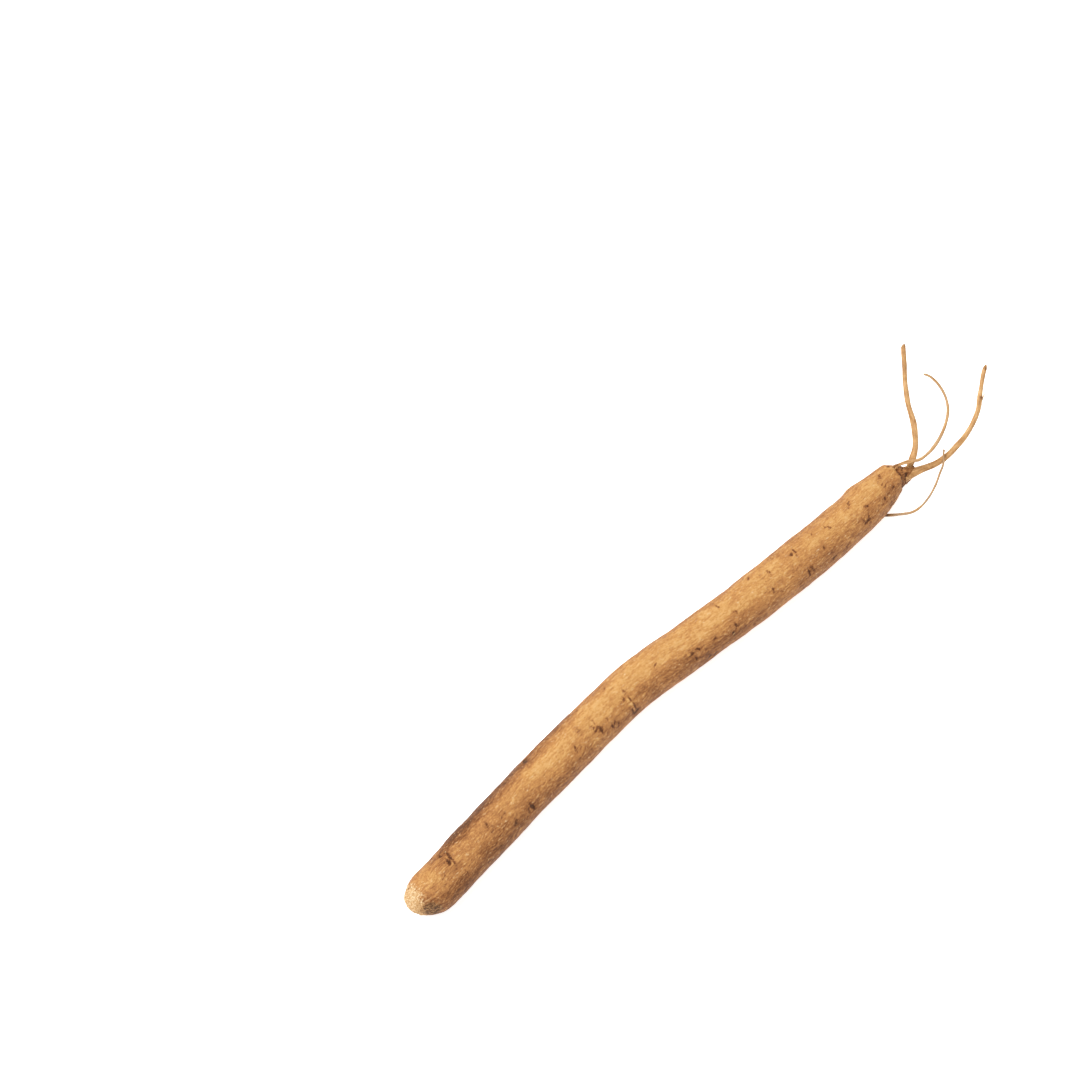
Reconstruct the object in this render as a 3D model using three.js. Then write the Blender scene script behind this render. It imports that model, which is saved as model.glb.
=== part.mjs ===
// A whole dried dong quai root, lying on its side. Millimetres, +Z up.
//
// It is one slender tap root with a blunt corky tail at -X and a short woody collar at +X.
// Four lateral rootlets leave the collar end: two thick ones, a thin curled one and a fine
// hair that starts from the underside. All of them are held by the root and move with it.
//
// Lengths along the root are counted from its tail tip, and side offsets from the straight
// line between its two ends, positive to the left of someone looking from tail to collar.
// The last lines move that frame to the middle of the footprint, on the surface it lies on.

import * as THREE from 'three';

// ---- driving dimensions -------------------------------------------------------------

const ROOT_LENGTH = 220.2;      // tail tip to the end face of the collar
const TAIL_DOME = 9.8;          // length of the rounded tail
const TAIL_RADIUS = 7.25;       // radius where the dome runs into the shaft
const AXIS_HEIGHT = 7.25;       // the root's axis above the surface; the skin is flat below
const LEAST_FLAT = 8;           // half angle of the flat along the underside, degrees

// The tail tip's place in the finished frame, whose origin is the middle of the footprint.
const TAIL_ALONG = -131.75;
const TAIL_SIDE = -10.15;

// ---- resolution ---------------------------------------------------------------------

const ROOT_SIDES = 24;
const SHAFT_STEP = 3;           // spacing of the rings along the shaft
const COLLAR_STEP = 0.7;        // spacing where the shoulder narrows to the collar
const DOME_RINGS = 8;
const ROOTLET_SIDES = 8;
const STEPS_PER_POINT = 3;

// ---- the shape of the root ----------------------------------------------------------

// Where the axis lies: [along, side]. The root bows gently to the left at mid length.
const AXIS = [
  [0, -1.4], [9, -2.0], [21, -0.9], [40, 1.2], [65, 3.6], [90, 5.5], [100, 5.8],
  [110, 5.2], [122, 4.0], [142, 2.6], [169, 1.4], [189, 1.3], [204, 2.1], [212, 2.7],
  [215, 2.2], [218, 0.9], [221, 0.2],
];

// How thick it is: [along, radius], from the end of the tail dome to the collar's end face.
const RADII = [
  [9.8, 7.25], [21, 7.4], [40, 7.55], [52, 7.45], [70, 7.7], [90, 7.4], [105, 7.5],
  [122, 7.4], [142, 7.55], [155, 7.6], [175, 7.55], [189, 7.4], [199, 7.15], [204, 6.6],
  [208, 6.1], [211, 5.7], [212.4, 5.35], [213.2, 4.8], [214, 4.2], [215, 3.85],
  [216, 3.45], [217, 2.8], [218.6, 2.35], [220.2, 2.2],
];

// ---- the rootlets -------------------------------------------------------------------

// Each is a list of [along, side, height, radius], from its base to its broken tip.
const ROOTLETS = {
  rootlet_upright: {
    colour: 0xd2a066,
    points: [
      [221, 2.2, 10.4, 1.1], [224, 4.1, 12.2, 1], [227, 7.2, 14.1, 0.95], [229, 10, 15.3, 0.9],
      [231.5, 15, 17.5, 0.85], [235.2, 19.9, 19.4, 0.75], [239.2, 24.2, 21, 0.7],
      [243.8, 29.4, 22.8, 0.7],
    ],
  },
  rootlet_sweeping: {
    colour: 0xd4a268,
    points: [
      [221, -1.6, 8.2, 1.1], [226, -3.4, 8.3, 1], [231, -3.9, 8.5, 0.95], [236, -3.7, 8.8, 0.85],
      [241, -3, 9.2, 0.8], [246, -1.5, 9.8, 0.8], [250.5, 0.6, 10.6, 0.8], [255, 4, 11.7, 0.75],
      [259.5, 7.2, 12.9, 0.65], [263, 9.2, 14, 0.6],
    ],
  },
  rootlet_curled: {
    colour: 0xc79a6a,
    points: [
      [215.5, 3.1, 12.4, 0.5], [218, 1.9, 12.9, 0.5], [220.5, -0.4, 13.4, 0.5],
      [223.5, -1.1, 14.1, 0.5], [227, -1, 15.2, 0.45], [231, -0.1, 16.5, 0.45],
      [235.2, 1.8, 17.9, 0.4], [238.5, 4.3, 19.2, 0.4], [240.8, 8, 20.6, 0.35],
      [241.7, 12, 21.8, 0.35], [241.4, 15.3, 22.7, 0.35], [240.2, 17.4, 23.3, 0.3],
    ],
  },
  rootlet_hair: {
    colour: 0xb98a58,
    points: [
      [203.5, -3.2, 1.9, 0.45], [207, -6.1, 1.9, 0.4], [210.5, -8.4, 2, 0.4],
      [214, -9.2, 2.5, 0.35], [218, -8.9, 3.7, 0.35], [222, -7.8, 5.2, 0.3],
      [225, -6.5, 7, 0.3], [227.5, -5.5, 9.4, 0.3], [228.7, -4.1, 11, 0.25],
      [230.2, -2.7, 12.2, 0.2],
    ],
  },
};

// ---- tools --------------------------------------------------------------------------

// A smooth curve through [along, value] pairs, read at any place along the root.
function profile(pairs) {
  const points = pairs.map(([along, value]) => new THREE.Vector3(along, value, 0));
  const curve = new THREE.CatmullRomCurve3(points);
  return (along) => {
    let low = 0;
    let high = 1;
    for (let pass = 0; pass < 40; pass += 1) {
      const middle = (low + high) / 2;
      if (curve.getPoint(middle).x < along) {
        low = middle;
      } else {
        high = middle;
      }
    }
    return curve.getPoint(low).y;
  };
}

// One closed skin over a row of rings with the same number of points, capped at both ends.
function loft(rings) {
  const sides = rings[0].length;
  const positions = rings.flat().flatMap((point) => point.toArray());
  const faces = [];
  for (let ring = 0; ring < rings.length - 1; ring += 1) {
    for (let side = 0; side < sides; side += 1) {
      const next = (side + 1) % sides;
      const here = ring * sides;
      const there = here + sides;
      faces.push(here + side, here + next, there + next);
      faces.push(here + side, there + next, there + side);
    }
  }
  const last = (rings.length - 1) * sides;
  const caps = [rings[0], rings[rings.length - 1]];
  caps.forEach((cap, end) => {
    const centre = new THREE.Vector3();
    cap.forEach((point) => centre.add(point));
    centre.divideScalar(sides);
    const hub = positions.length / 3;
    positions.push(...centre.toArray());
    for (let side = 0; side < sides; side += 1) {
      const next = (side + 1) % sides;
      if (end === 0) {
        faces.push(hub, next, side);
      } else {
        faces.push(hub, last + side, last + next);
      }
    }
  });
  const geometry = new THREE.BufferGeometry();
  geometry.setAttribute('position', new THREE.Float32BufferAttribute(positions, 3));
  geometry.setIndex(faces);
  geometry.computeVertexNormals();
  return geometry;
}

// ---- the root -----------------------------------------------------------------------

// A round section whose lowest part is cut by a level chord. Where the section reaches the
// surface, the chord lies on it, so the chords of all sections make one flat underside.
function rootSection(along, side, radius) {
  const least = THREE.MathUtils.degToRad(LEAST_FLAT);
  const reach = radius > AXIS_HEIGHT ? Math.acos(AXIS_HEIGHT / radius) : 0;
  const halfFlat = Math.max(least, reach);
  const ring = [];
  for (let corner = 0; corner < ROOT_SIDES; corner += 1) {
    const turn = halfFlat + (corner / (ROOT_SIDES - 1)) * 2 * (Math.PI - halfFlat);
    const angle = turn - Math.PI / 2;
    const height = Math.max(0, AXIS_HEIGHT + radius * Math.sin(angle));
    ring.push(new THREE.Vector3(along, side + radius * Math.cos(angle), height));
  }
  return ring;
}

function makeRoot() {
  const sideAt = profile(AXIS);
  const radiusAt = profile(RADII);
  const rings = [];
  for (let ring = 1; ring <= DOME_RINGS; ring += 1) {
    const turn = (ring / DOME_RINGS) * (Math.PI / 2);
    const along = TAIL_DOME * (1 - Math.cos(turn));
    rings.push(rootSection(along, sideAt(along), TAIL_RADIUS * Math.sin(turn)));
  }
  let along = TAIL_DOME;
  while (along < ROOT_LENGTH) {
    along += along < 203 ? SHAFT_STEP : COLLAR_STEP;
    const place = Math.min(along, ROOT_LENGTH);
    rings.push(rootSection(place, sideAt(place), radiusAt(place)));
  }
  const skin = new THREE.MeshStandardMaterial({ color: 0xb9854f, roughness: 0.75 });
  const root = new THREE.Mesh(loft(rings), skin);
  root.name = 'main_root';
  return root;
}

// ---- a rootlet ----------------------------------------------------------------------

function makeRootlet(name, { colour, points }) {
  const path = new THREE.CatmullRomCurve3(
    points.map(([along, side, height]) => new THREE.Vector3(along, side, height)),
  );
  const steps = (points.length - 1) * STEPS_PER_POINT;
  const up = new THREE.Vector3(0, 0, 1);
  const rings = [];
  for (let step = 0; step <= steps; step += 1) {
    const share = step / steps;
    const place = share * (points.length - 1);
    const before = Math.min(Math.floor(place), points.length - 2);
    const radius = THREE.MathUtils.lerp(points[before][3], points[before + 1][3], place - before);
    const centre = path.getPoint(share);
    const forward = path.getTangent(share);
    const left = new THREE.Vector3().crossVectors(up, forward).normalize();
    const over = new THREE.Vector3().crossVectors(forward, left);
    const ring = [];
    for (let corner = 0; corner < ROOTLET_SIDES; corner += 1) {
      const angle = (corner / ROOTLET_SIDES) * 2 * Math.PI;
      const point = centre.clone();
      point.addScaledVector(left, radius * Math.cos(angle));
      point.addScaledVector(over, radius * Math.sin(angle));
      ring.push(point);
    }
    rings.push(ring);
  }
  const skin = new THREE.MeshStandardMaterial({ color: colour, roughness: 0.6 });
  const rootlet = new THREE.Mesh(loft(rings), skin);
  rootlet.name = name;
  return rootlet;
}

// ---- the whole root -----------------------------------------------------------------

const group = new THREE.Group();
group.name = 'dong_quai_root';
group.add(makeRoot());
for (const [name, shape] of Object.entries(ROOTLETS)) {
  group.add(makeRootlet(name, shape));
}
group.position.set(TAIL_ALONG, TAIL_SIDE, 0);

export default group;
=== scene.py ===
# %% [markdown]
# # A dried dong quai root
#
# Dong quai is the root of an angelica, dug up in autumn, washed and dried whole. It is a slender
# rod of corky bark with a blunt tail at one end. At the other end a shoulder narrows to a short
# woody collar, and the last few rootlets are still attached there.
#
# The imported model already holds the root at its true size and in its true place. This script
# lays a detailed skin over it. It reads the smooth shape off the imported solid, and then adds what
# a plain solid lacks: wrinkles, scars, a crumbly tail and bark colours.

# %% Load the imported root
import math

import bpy
import numpy as np
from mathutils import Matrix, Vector, noise


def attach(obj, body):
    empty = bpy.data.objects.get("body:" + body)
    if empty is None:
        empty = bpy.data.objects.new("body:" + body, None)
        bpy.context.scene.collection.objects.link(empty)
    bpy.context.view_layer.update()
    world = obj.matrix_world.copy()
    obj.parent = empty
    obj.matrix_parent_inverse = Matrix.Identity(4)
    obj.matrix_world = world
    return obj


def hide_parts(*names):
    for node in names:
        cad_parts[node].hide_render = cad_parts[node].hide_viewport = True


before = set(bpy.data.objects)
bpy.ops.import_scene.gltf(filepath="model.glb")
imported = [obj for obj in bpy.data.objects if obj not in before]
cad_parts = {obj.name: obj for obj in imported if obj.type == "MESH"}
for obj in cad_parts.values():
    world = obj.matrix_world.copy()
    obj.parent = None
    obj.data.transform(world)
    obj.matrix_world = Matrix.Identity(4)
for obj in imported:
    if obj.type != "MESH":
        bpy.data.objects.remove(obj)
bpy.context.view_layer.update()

MM = 0.001

# %% [markdown]
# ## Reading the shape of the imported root
#
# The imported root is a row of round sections, each a ring of corners at one place along X. A
# circle fitted to a ring gives the axis and the thickness there. Ray casts or a shrinkwrap would
# find the same surface, but its flat facets would come along. A smooth curve through the fitted
# circles has no facets, and it can be read as finely as the new skin needs.
#
# The curve goes through four numbers at once: the place along the root, the two that say where
# the axis is, and the radius. Even steps along that curve are also even steps over the rounded
# tail, where the radius grows quickly and the place along the root hardly changes.

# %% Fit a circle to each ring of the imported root
STEPS_PER_KNOT = 24
TIP_BEYOND = 0.15       # mm from the first ring to the very tip of the tail


def smooth_line(knots, count):
    """Reads a Catmull-Rom curve through the knots, at evenly spaced places along it."""
    knots = np.asarray(knots, float)
    row = np.vstack([2 * knots[0] - knots[1], knots, 2 * knots[-1] - knots[-2]])
    step = np.linspace(0, 1, STEPS_PER_KNOT, endpoint=False)[:, None]
    pieces = []
    for a, b, c, d in zip(row, row[1:], row[2:], row[3:]):
        bend = (2 * a - 5 * b + 4 * c - d) * step**2 + (3 * b - a - 3 * c + d) * step**3
        pieces.append(b + ((c - a) * step + bend) / 2)
    fine = np.vstack(pieces + [knots[-1:]])
    reached = np.append(0, np.cumsum(np.linalg.norm(np.diff(fine, axis=0), axis=1)))
    even = np.linspace(0, reached[-1], count)
    return np.stack([np.interp(even, reached, column) for column in fine.T], 1)


def fit_circles(solid):
    """Place along X, side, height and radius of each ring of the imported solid, in mm."""
    corners = np.array([vertex.co for vertex in solid.data.vertices]) / MM
    rings = []
    for place in np.unique(corners[:, 0].round(2)):
        ring = corners[abs(corners[:, 0] - place) < 0.02][:, 1:]
        terms = np.column_stack([2 * ring, np.ones(len(ring))])
        side, height, rest = np.linalg.lstsq(terms, (ring**2).sum(1), rcond=None)[0]
        rings.append((place, side, height, math.sqrt(rest + side**2 + height**2)))
    tail = (rings[0][0] - TIP_BEYOND, *rings[0][1:3], 0.0)
    return np.array([tail] + rings)


circles = fit_circles(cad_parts["main_root"])
print(f"{len(circles)} sections, thickest {2 * circles[:, 3].max():.1f} mm")

# %% [markdown]
# ## A fine grid over the root
#
# The skin is a grid of rings and sides. Its cells are about a third of a millimetre, which is
# fine enough to hold the wrinkles and scars as real shape. Every point is described by two
# numbers that mean something on a root: how far along it lies from the tail, and how far around
# it lies from the top. Marks are placed with those two numbers further on.

# %% Lay out the grid
RINGS = 640
SIDES = 150

line = smooth_line(circles, RINGS)
centre = line[:, :3]
radius = line[:, 3]
along = line[:, 0] - line[0, 0]
turn = np.linspace(0, 2 * math.pi, SIDES, endpoint=False)
lean = np.arctan2(-np.gradient(radius), np.gradient(along))
cell_along = np.linalg.norm(np.diff(line, axis=0), axis=1).mean()
cell_around = 2 * math.pi * np.median(radius) / SIDES

spokes = np.stack([0 * turn, np.sin(turn), np.cos(turn)], 1)
outward = np.cos(lean)[:, None, None] * spokes
outward[..., 0] += np.sin(lean)[:, None]
smooth_skin = centre[:, None] + radius[:, None, None] * spokes
print(f"grid cell {cell_along:.2f} by {cell_around:.2f} mm, length {along[-1]:.1f} mm")

# %% [markdown]
# ## Soft random relief
#
# Bark is never even, but its unevenness has a direction: wrinkles run along a root, because it
# shrinks around its middle as it dries. White noise that is blurred by different amounts along
# and around gives exactly that, for any length and width of lump. The blur is done with a
# Fourier transform, which also makes the relief close on itself around the root.
#
# The crumbly ends need relief with no direction, so those parts read a solid noise instead.

# %% Random relief with a grain
def lumps(shape, cell, size, seed):
    """Soft random relief on a wrapped grid. Its lumps are size mm long and wide."""
    spectrum = np.fft.fft2(np.random.default_rng(seed).standard_normal(shape))
    spectrum[0, 0] = 0
    for axis, (count, step, width) in enumerate(zip(shape, cell, size)):
        blur = np.exp(-2 * (math.pi * np.fft.fftfreq(count, step) * width / 3) ** 2)
        spectrum = spectrum * (blur[:, None] if axis == 0 else blur)
    relief = np.fft.ifft2(spectrum).real
    return relief / relief.std()


def blurred(layer, length, width):
    """A layer with everything finer than length mm along and width mm around smoothed away."""
    spectrum = np.fft.fft2(layer)
    for axis, (count, step, size) in enumerate(
        zip(layer.shape, (cell_along, cell_around), (length, width))
    ):
        keep = np.exp(-2 * (math.pi * np.fft.fftfreq(count, step) * size / 3) ** 2)
        spectrum = spectrum * (keep[:, None] if axis == 0 else keep)
    return np.fft.ifft2(spectrum).real


def bark_lumps(length, width, seed):
    return lumps((RINGS, SIDES), (cell_along, cell_around), (length, width), seed)


def crumbs(points, size, octaves=3):
    """Solid noise with no direction, about -1 to 1, for rows of points in mm."""
    flat = points.reshape(-1, 3) / size
    values = [noise.fractal(Vector(point), 1.0, 2.0, octaves) for point in flat]
    return np.array(values).reshape(points.shape[:-1])


def ramp(value, low, high):
    """0 below low, 1 above high, and smooth in between."""
    share = np.clip((value - low) / (high - low), 0, 1)
    return share * share * (3 - 2 * share)


# %% [markdown]
# ## Wrinkles and hollows of the bark
#
# The root has broad shallow dents, as if pressed by the soil, and faint girdles where its growth
# paused. Over those run lengthwise wrinkles about a millimetre apart, then a fine grain. Each is
# a tenth as deep as it is wide or less, because the bark of a dried dong quai feels nearly
# smooth.

# %% Relief of the shaft
shaft = (ramp(along, 3, 9) * ramp(along[-1] - along, 4, 10))[:, None]
dents = bark_lumps(26, 9, 1)
girdles = bark_lumps(9, 60, 9)
wrinkles = bark_lumps(9, 1.5, 2)
grain_lines = bark_lumps(3, 0.9, 3)
pebbles = bark_lumps(1.6, 1.4, 10)
height = 0.11 * dents + shaft * (
    0.05 * girdles + 0.035 * wrinkles + 0.022 * grain_lines + 0.02 * pebbles
)
print(f"bark relief spans {np.ptp(height):.2f} mm")

# %% [markdown]
# ## Scars, pits and creases
#
# Wherever a side root dropped off, the bark closed over it and left a scar. On dong quai these
# are short dark strokes across the root, creases, small broken rings, pits, and patches that are
# only darker. Each has a place along the root and a turn around it, so a list by kind can say
# where they are. The edge of each mark is made crooked by a little random shift, or it would
# look stamped.
#
# Three layers are collected: the height of the skin, how dark the bark is, and how pale it is.
# Dark and pale are kept as numbers from 0 to 1, and the bark material turns them into colours.

# %% Tools for marks
MEAN_RADIUS = 7.3       # mm, turns the spread of specks around the root into degrees
LEAST_RADIUS = 0.5      # mm, so that no mark winds round the very tip of the tail
FAR_AWAY = 9.0          # mm, further than the halo of any stroke
STROKE_DEPTH = 0.09     # mm, at strength 1
HALO_SHARE = 0.32       # how dark the halo around a stroke is, next to the stroke

dark = np.zeros((RINGS, SIDES))
pale = np.zeros((RINGS, SIDES))
crook_along = 0.17 * bark_lumps(1.8, 1.8, 4)
crook_around = 0.2 * bark_lumps(1.8, 1.8, 5)
breaks = bark_lumps(1.3, 1.3, 6)
scatter = np.random.default_rng(17)


def from_mark(place, degrees):
    """Millimetres along and around from a mark, for every point of the skin."""
    around = (turn - math.radians(degrees) + math.pi) % (2 * math.pi) - math.pi
    ahead = along[:, None] - place + crook_along
    aside = around * np.maximum(radius, LEAST_RADIUS)[:, None] + crook_around
    return ahead, aside


def oval(place, degrees, length, width, edge=2.0):
    """1 inside an oval of that length along the root and width around it, 0 outside."""
    ahead, aside = from_mark(place, degrees)
    out = np.sqrt((2 * ahead / length) ** 2 + (2 * aside / width) ** 2)
    return np.exp(-(out**edge))


def stain(layer, mask):
    """Lays a mask over a layer without adding up beyond its strongest part."""
    np.maximum(layer, np.clip(mask, 0, 1), out=layer)


def stroke(route, width, strength):
    """A thin dark line in a faint halo, through places as mm along and degrees from the top."""
    nearest = np.full((RINGS, SIDES), FAR_AWAY)
    for (place, degrees), (next_place, next_degrees) in zip(route, route[1:]):
        ahead, aside = from_mark(place, degrees)
        reach = next_place - place
        sweep = math.radians(next_degrees - degrees) * np.maximum(radius, LEAST_RADIUS)[:, None]
        share = np.clip((ahead * reach + aside * sweep) / (reach**2 + sweep**2), 0, 1)
        nearest = np.minimum(nearest, np.hypot(ahead - share * reach, aside - share * sweep))
    mask = np.exp(-((nearest / (0.66 * width)) ** 2)) * np.clip(0.95 + 0.4 * breaks, 0.2, 1.2)
    height[:] -= STROKE_DEPTH * strength * mask
    stain(dark, strength * mask)
    stain(dark, HALO_SHARE * strength * np.exp(-((nearest / (1.5 * width)) ** 2)))


def specks(place, degrees, length, width, strength, count):
    """A loose cluster of short dark dashes."""
    for _ in range(count):
        ahead, aside = scatter.normal(0, 0.24, 2) * (length, width)
        start = (place + ahead, degrees + math.degrees(aside / MEAN_RADIUS))
        end = (start[0] + scatter.normal(0, 0.5), start[1] + scatter.normal(0, 4))
        stroke([start, end], scatter.uniform(0.45, 0.7), strength * scatter.uniform(0.5, 1.0))


def crease(place, degrees, width, strength):
    """A closed scar across the root: a groove with a pale lip on the tail's side."""
    groove = oval(place, degrees, 0.8, width, 3) * np.clip(0.75 + 0.5 * breaks, 0, 1)
    lip = oval(place - 0.8, degrees, 0.7, 0.85 * width, 3)
    height[:] += strength * (0.08 * lip - 0.16 * groove)
    stain(dark, 0.85 * strength * groove)
    stain(pale, 0.45 * strength * lip)
    specks(place - 0.3, degrees, 1.8, 1.1 * width, 0.6 * strength, 4)


def ring(place, degrees, size, strength):
    """The mark of a small side root: a broken dark ring with a paler middle."""
    ahead, aside = from_mark(place, degrees)
    out = np.hypot(ahead, 0.85 * aside) / (size / 2)
    facing = np.arctan2(aside, ahead) + scatter.uniform(0, 2 * math.pi)
    rim = np.exp(-(((out - 0.72) / 0.34) ** 2)) * np.clip(0.6 + 0.5 * np.sin(facing), 0, 1)
    middle = np.exp(-((out / 0.45) ** 4))
    height[:] += strength * (0.05 * middle - 0.1 * rim)
    stain(dark, 0.85 * strength * rim)
    stain(pale, strength * 0.4 * middle)
    specks(place, degrees, size, size, 0.7 * strength, 4)


def pit(place, degrees, size, strength):
    """A hole left by a lost rootlet."""
    hole = oval(place, degrees, 0.9 * size, 0.75 * size, 3)
    height[:] -= strength * 0.25 * hole
    stain(dark, 1.1 * strength * hole)


def patch(place, degrees, length, width, strength):
    """Bark that is only darker, in a mottled patch."""
    shape = oval(place, degrees, length, width)
    stain(dark, 0.5 * strength * shape * np.clip(0.8 + 0.6 * breaks, 0, 1.4))
    specks(place, degrees, length, width, 0.6 * strength, 1 + round(0.6 * length * width))


# %% [markdown]
# The marks below are the ones that give this root its face. Most are short scars that lie across
# the root, each a place, a turn, a reach around the root and a lean. A scar that is broken into
# pieces is a few of them side by side, because an old scar is seldom whole. The rest of the root,
# underneath and on the far side, gets marks of these and other kinds at random.

# %% Scars of this root
SHAFT_RADIUS = 7.4      # mm, turns a scar's reach around the root into degrees


def scar(place, degrees, reach, lean, width, strength):
    """A short dark scar, reach mm around the root. Its upper end lies lean mm further along."""
    half = math.degrees(reach / 2 / SHAFT_RADIUS)
    bow = scatter.uniform(-0.15, 0.15)
    low, high = (place - lean / 2, degrees - half), (place + lean / 2, degrees + half)
    stroke([low, (place + bow, degrees), high], width, strength)


SCARS = [  # place mm, degrees from the top, reach mm, lean mm, width mm, strength
    (3.8, 37, 0.8, 0, 0.8, 0.5), (4.2, 24, 0.6, 0.4, 0.8, 0.5), (2.6, 12, 0.5, 0, 0.7, 0.4),
    (10.4, -21, 0.4, 0.5, 0.6, 0.4), (11.1, -26, 0.4, 0.4, 0.6, 0.4),
    (12.3, -12, 0.4, 1.4, 0.6, 0.5), (13.3, -4, 0.5, 1.0, 0.5, 0.45),
    (16.1, 33, 0.8, 0, 0.8, 0.7), (16.5, 6, 5.0, 0, 1.2, 0.95), (18.0, 6, 4.8, 0.2, 0.7, 0.75),
    (17.3, -14, 0.5, 1.2, 0.6, 0.6), (16.2, -75, 0.5, 0.6, 0.8, 0.6),
    (29.1, 33, 0.5, 0.9, 0.7, 0.5), (31.8, 3, 0.5, 0.4, 0.6, 0.4), (33.0, 3, 0.9, 0.6, 0.6, 0.65),
    (32.3, -6, 0.8, 0, 0.6, 0.55), (34.0, -13, 0.8, 0, 0.5, 0.55), (33.1, -17, 0.3, 0.9, 0.5, 0.5),
    (38.6, -13, 0.3, 2.2, 0.5, 0.35), (40.7, -48, 0.6, 1.0, 0.9, 0.7),
    (47.9, -50, 1.7, -0.6, 1.0, 1.15), (46.6, -49, 1.6, 0, 0.6, 0.6),
    (48.0, -19, 0.5, 0, 0.8, 0.35), (56.1, 46, 1.2, 0, 0.9, 0.9), (56.7, 31, 1.0, -0.4, 0.7, 0.7),
    (69.7, -28, 1.8, 0.3, 0.7, 0.8), (71.1, -34, 0.8, 0.7, 0.6, 0.6), (74.1, 0, 0.6, 0, 0.8, 1.2),
    (78.5, 6, 0.7, 0, 0.7, 0.5), (79.5, -1, 1.0, 0, 0.5, 0.5), (78.4, -10, 1.3, 0.3, 0.8, 0.5),
    (79.5, -13, 2.0, 0.2, 0.5, 0.5), (78.4, -22, 0.7, 0.5, 0.6, 0.6),
    (78.9, -31, 0.6, 2.0, 0.8, 0.7), (79.9, -35, 1.6, -0.4, 1.1, 1.0),
    (83.8, -30, 1.0, 0, 0.7, 0.65), (84.2, -57, 1.6, -0.6, 0.7, 0.75),
    (85.4, -52, 0.6, 0.8, 0.7, 0.6), (86.2, -62, 1.6, 0, 0.9, 0.9), (90.3, 28, 0.5, 0.7, 0.7, 0.5),
    (92.2, -22, 1.0, 0.2, 0.9, 0.7), (93.7, -16, 1.4, 0.1, 0.75, 1.1),
    (94.0, -46, 6.4, -0.6, 0.5, 0.8), (93.8, -75, 0.7, 1.4, 0.8, 0.9),
    (93.4, -83, 0.8, -0.4, 0.6, 0.7), (92.6, -64, 2.2, 0.4, 0.6, 0.7),
    (96.2, -37, 0.6, 2.0, 0.6, 0.4), (99.8, -33, 0.6, 1.0, 0.8, 0.45),
    (106.3, -15, 1.3, 0.2, 0.6, 0.9), (107.1, -10, 0.3, 1.4, 0.6, 0.75),
    (118.6, -34, 1.1, -0.4, 0.9, 1.2), (118.0, -27, 0.5, 1.4, 0.6, 0.6),
    (117.2, -42, 0.4, 1.8, 0.5, 0.6), (120.9, -35, 1.0, -0.9, 0.9, 1.05),
    (122.2, -38, 0.4, 1.6, 0.6, 0.4), (119.2, -52, 1.8, 0.2, 0.6, 0.75),
    (118.3, -49, 0.9, 0.5, 0.5, 0.6), (123.5, -80, 0.7, 1.4, 0.9, 1.0),
    (125.8, -83, 0.6, 1.0, 0.8, 0.8), (123.5, -64, 1.6, -0.5, 0.7, 0.6),
    (127.9, -41, 0.6, 1.2, 0.8, 0.65), (135.4, 33, 0.7, 0.6, 0.7, 0.6),
    (135.6, 22, 1.4, -0.2, 0.7, 0.8), (135.7, -46, 1.5, 0.5, 0.8, 1.0),
    (137.8, -46, 0.5, 1.8, 0.6, 0.5), (136.6, -56, 1.2, -0.6, 0.7, 0.65),
    (134.1, -60, 1.8, 0.2, 0.8, 0.65), (148.6, 42, 0.6, 1.0, 0.6, 0.5),
    (149.4, 31, 0.5, 1.0, 0.7, 0.8), (152.7, 9, 1.4, 0, 0.8, 0.7), (152.8, -1, 0.8, 0, 0.6, 0.45),
    (155.4, 13, 0.8, 0.4, 0.6, 0.65), (155.6, 5, 0.9, 0.2, 0.7, 0.75),
    (152.5, -33, 1.0, 0.4, 0.8, 0.85), (154.2, -25, 0.7, 1.4, 0.5, 0.5),
    (156.3, -21, 0.3, 2.8, 0.5, 0.4), (151.2, -21, 0.3, 3.0, 0.6, 0.35),
    (165.0, 6, 0.8, 0.2, 0.7, 0.9), (166.7, 13, 1.0, 0.5, 0.7, 0.8), (166.5, 4, 0.9, 0.2, 0.7, 0.8),
    (166.4, -57, 1.8, 0, 1.0, 0.85), (168.1, -53, 1.4, -0.3, 0.9, 0.8),
    (167.2, -48, 0.4, 1.2, 0.6, 0.6), (175.2, 31, 0.7, 0, 0.6, 0.55),
    (175.6, 16, 0.5, 0.7, 0.7, 0.5), (175.0, -28, 0.5, 0, 0.8, 0.85),
    (176.9, -72, 0.6, 1.4, 0.8, 0.75), (180.2, 12, 0.8, 0.4, 0.9, 0.55),
    (181.0, 6, 1.2, -0.2, 0.9, 0.6), (183.0, -69, 0.5, 1.6, 0.8, 0.65),
    (192.5, 20, 0.4, 0.9, 0.6, 0.65), (191.4, 9, 0.7, 1.2, 0.8, 0.5),
    (192.3, -50, 1.4, 0, 0.9, 0.9), (193.9, -48, 0.6, 1.0, 0.6, 0.8),
    (192.0, -38, 0.8, 0.1, 0.5, 0.5), (195.7, -21, 0.7, -1.1, 0.7, 0.8),
    (202.1, 25, 0.4, 0.4, 0.9, 0.75), (202.7, -41, 0.6, 0, 0.9, 0.85),
    (204.8, -17, 0.4, 0.6, 0.6, 0.6), (205.2, -8, 0.5, 1.2, 0.5, 0.6),
    (206.6, -15, 0.4, 2.8, 0.5, 0.6), (206.1, 9, 0.7, -1.0, 0.6, 0.65),
    (207.3, 16, 0.5, 0.5, 0.8, 0.65), (208.0, -38, 0.6, 1.1, 0.8, 0.5),
    (211.0, 13, 0.6, -1.6, 0.6, 0.5), (212.3, 25, 0.8, 0, 0.8, 0.9), (213.6, -9, 0.8, 0, 0.9, 0.6),
]
for each in SCARS:
    scar(*each)
ring(137.8, -19, 2.2, 0.8)
ring(33.2, -10, 2.2, 0.65)
print(f"{len(SCARS)} scars, {(dark > 0.3).mean():.1%} of the bark is darkened by them")

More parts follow.
